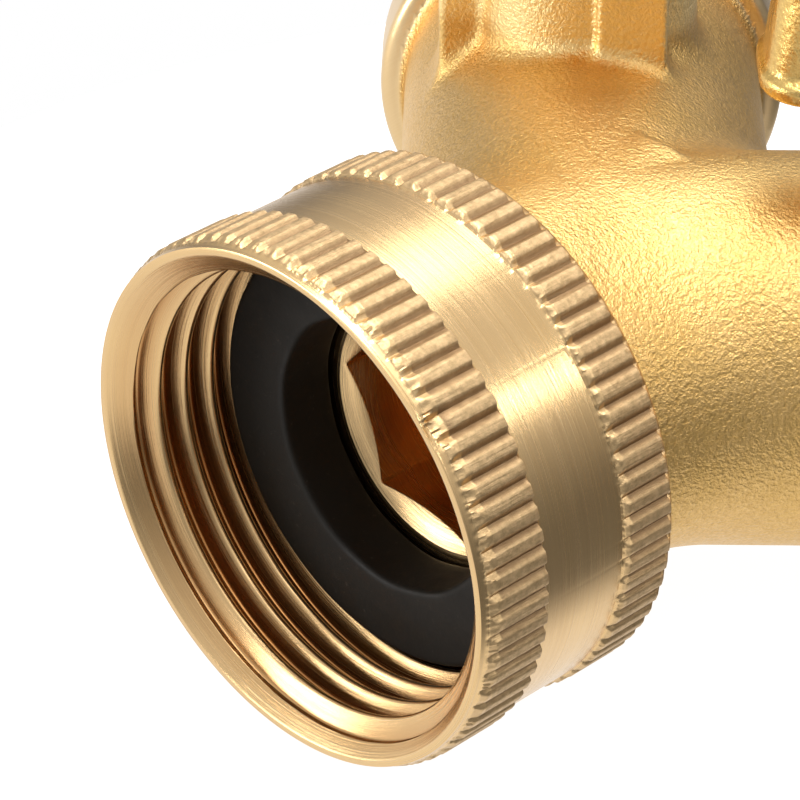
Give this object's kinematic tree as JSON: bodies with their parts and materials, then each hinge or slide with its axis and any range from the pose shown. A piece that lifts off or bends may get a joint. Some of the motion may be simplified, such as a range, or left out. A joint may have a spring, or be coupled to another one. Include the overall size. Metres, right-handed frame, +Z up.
{
  "type": "hose splitter",
  "caption": "Two-way brass garden hose splitter: G 3/4 swivel inlet nut, Y body, quarter-turn ball valve with butterfly handle in each arm, male G 1/2 outlets.",
  "frame": {"origin": "middle of the bounding box, at its base: the splitter lies flat on the nut, valve stems up", "axes": "+X across the two outlets, +Y from the inlet towards the outlets, +Z up along the valve stems"},
  "size_m": [0.0766, 0.0606, 0.0395],
  "materials": {
    "cast_brass": "bead-blasted forging, warm yellow, finely sparkling",
    "nut_brass": "turned and knurled, pale, brushed around the smooth band",
    "turned_brass": "turned, satin",
    "handle_metal": "bright plated casting with a slightly rippled skin",
    "rubber": "matt black",
    "ptfe": "waxy white",
    "steel": "bright zinc-plated"
  },
  "bodies": {
    "root": {"body": "cast_brass", "inlet_tailpiece": "turned_brass", "tailpiece_o_ring": "rubber", "left_inner_seat": "ptfe", "left_outer_seat": "ptfe", "left_outlet_adapter": "turned_brass", "left_adapter_o_ring": "rubber", "left_thrust_washer": "ptfe", "right_inner_seat": "ptfe", "right_outer_seat": "ptfe", "right_outlet_adapter": "turned_brass", "right_adapter_o_ring": "rubber", "right_thrust_washer": "ptfe"},
    "nut": {"swivel_nut": "nut_brass", "inlet_washer": "rubber"},
    "left_valve": {"left_ball": "turned_brass", "left_stem": "turned_brass", "left_stem_o_ring_lower": "rubber", "left_stem_o_ring_upper": "rubber", "left_handle": "handle_metal", "left_handle_screw": "steel", "left_spring_washer": "steel"},
    "right_valve": {"right_ball": "turned_brass", "right_stem": "turned_brass", "right_stem_o_ring_lower": "rubber", "right_stem_o_ring_upper": "rubber", "right_handle": "handle_metal", "right_handle_screw": "steel", "right_spring_washer": "steel"}
  },
  "joints": [
    {"name": "nut_swivel", "type": "hinge", "parent": "root", "child": "nut", "pos_m": [0, -0.02356, 0.01455], "axis": [0, 1, 0], "continuous": true},
    {"name": "left_valve_turn", "type": "hinge", "parent": "root", "child": "left_valve", "pos_m": [-0.01372, 0.00566, 0.01455], "axis": [0, 0, 1], "range_deg": [0, 90]},
    {"name": "right_valve_turn", "type": "hinge", "parent": "root", "child": "right_valve", "pos_m": [0.01372, 0.00566, 0.01455], "axis": [0, 0, -1], "range_deg": [0, 90]}
  ]
}
